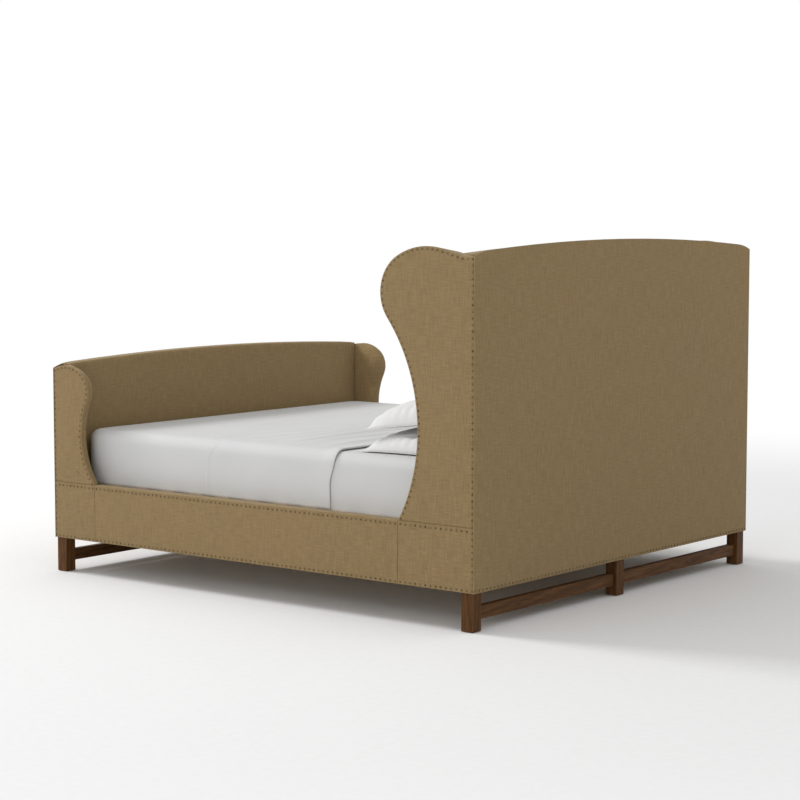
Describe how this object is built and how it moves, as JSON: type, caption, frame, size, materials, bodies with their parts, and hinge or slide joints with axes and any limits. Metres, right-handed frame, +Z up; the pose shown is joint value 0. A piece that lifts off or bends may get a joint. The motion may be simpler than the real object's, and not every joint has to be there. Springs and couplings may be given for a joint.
{
  "type": "upholstered bed",
  "caption": "Upholstered bed with winged headboard and footboard, nailhead edging, side rails on oak legs with stretchers, slats, mattress, turned-down sheet and stacked pillows.",
  "frame": {"origin": "on the floor at the centre of the bed's footprint", "axes": "+Z up, +Y from the foot towards the headboard, +X towards the sleeper's left side"},
  "size_m": [2.1544, 2.4044, 1.535],
  "materials": {
    "tan_linen": "matte woven linen with slubs",
    "stained_oak": "stained open-grain oak, satin",
    "frame_timber": "planed softwood and plywood, unfinished",
    "nail_bronze": "antiqued bronze, low sheen",
    "zinc_steel": "zinc plated",
    "nylon": "moulded nylon",
    "mattress_ticking": "quilted knit ticking",
    "white_cotton": "plain-weave cotton"
  },
  "bodies": {
    "bed_frame": {"beam_brackets": "zinc_steel", "centre_beam": "frame_timber", "foot_base_cover_left": "tan_linen", "foot_base_cover_right": "tan_linen", "foot_inner_pad": "tan_linen", "foot_leg_centre": "stained_oak", "foot_leg_left": "stained_oak", "foot_leg_right": "stained_oak", "foot_lower_rail": "frame_timber", "foot_outer_cover": "tan_linen", "foot_panel": "frame_timber", "foot_side_board_left": "frame_timber", "foot_side_board_right": "frame_timber", "foot_stretcher_left": "stained_oak", "foot_stretcher_right": "stained_oak", "foot_wing_cover_left": "tan_linen", "foot_wing_cover_right": "tan_linen", "head_back_cover": "tan_linen", "head_base_cover_left": "tan_linen", "head_base_cover_right": "tan_linen", "head_front_pad": "tan_linen", "head_leg_centre": "stained_oak", "head_leg_left": "stained_oak", "head_leg_right": "stained_oak", "head_lower_rail": "frame_timber", "head_panel": "frame_timber", "head_post_left": "frame_timber", "head_post_right": "frame_timber", "head_side_board_left": "frame_timber", "head_side_board_right": "frame_timber", "head_stretcher_left": "stained_oak", "head_stretcher_right": "stained_oak", "head_top_rail": "frame_timber", "head_wing_cover_left": "tan_linen", "head_wing_cover_right": "tan_linen", "leg_bolts": "zinc_steel", "leg_glides": "nylon", "leveller_inserts": "zinc_steel", "nailheads": "nail_bronze", "rail_board_left": "frame_timber", "rail_board_right": "frame_timber", "rail_brackets": "zinc_steel", "rail_cover_left": "tan_linen", "rail_cover_right": "tan_linen", "slat_ledger_left": "frame_timber", "slat_ledger_right": "frame_timber", "slats": "frame_timber", "support_leg_1": "frame_timber", "support_leg_2": "frame_timber"},
    "bedding": {"mattress": "mattress_ticking", "fitted_sheet": "white_cotton", "top_sheet": "white_cotton"},
    "leveller_pad_1": {"leveller_pad_1": "nylon"},
    "leveller_stem_1": {"leveller_stem_1": "zinc_steel"},
    "leveller_pad_2": {"leveller_pad_2": "nylon"},
    "leveller_stem_2": {"leveller_stem_2": "zinc_steel"},
    "pillow_lower_left": {"pillow_lower_left": "white_cotton"},
    "pillow_upper_left": {"pillow_upper_left": "white_cotton"},
    "pillow_lower_right": {"pillow_lower_right": "white_cotton"},
    "pillow_upper_right": {"pillow_upper_right": "white_cotton"}
  },
  "joints": [
    {"name": "bedding_lift", "type": "slide", "parent": "bed_frame", "child": "bedding", "axis": [0, 0, 1], "range_m": [0, 1.2]},
    {"name": "pillow_lower_left_lift", "type": "slide", "parent": "bedding", "child": "pillow_lower_left", "axis": [0, 0, 1], "range_m": [0, 0.95]},
    {"name": "pillow_upper_left_lift", "type": "slide", "parent": "pillow_lower_left", "child": "pillow_upper_left", "axis": [0, 0, 1], "range_m": [0, 0.85]},
    {"name": "pillow_lower_right_lift", "type": "slide", "parent": "bedding", "child": "pillow_lower_right", "axis": [0, 0, 1], "range_m": [0, 0.95]},
    {"name": "pillow_upper_right_lift", "type": "slide", "parent": "pillow_lower_right", "child": "pillow_upper_right", "axis": [0, 0, 1], "range_m": [0, 0.85]},
    {"name": "leveller_1_slide", "type": "slide", "parent": "bed_frame", "child": "leveller_pad_1", "axis": [0, 0, 1], "range_m": [-0.015, 0]},
    {"name": "leveller_1_turn", "type": "hinge", "parent": "leveller_pad_1", "child": "leveller_stem_1", "pos_m": [0, -0.5, 0.03], "axis": [0, 0, 1], "range_deg": [-3600, 0]},
    {"name": "leveller_2_slide", "type": "slide", "parent": "bed_frame", "child": "leveller_pad_2", "axis": [0, 0, 1], "range_m": [-0.015, 0]},
    {"name": "leveller_2_turn", "type": "hinge", "parent": "leveller_pad_2", "child": "leveller_stem_2", "pos_m": [0, 0.5, 0.03], "axis": [0, 0, 1], "range_deg": [-3600, 0]}
  ],
  "couplings": [
    {"joint": "leveller_1_slide", "follows": "leveller_1_turn", "m_per_rad": 0.00023873},
    {"joint": "leveller_2_slide", "follows": "leveller_2_turn", "m_per_rad": 0.00023873}
  ]
}
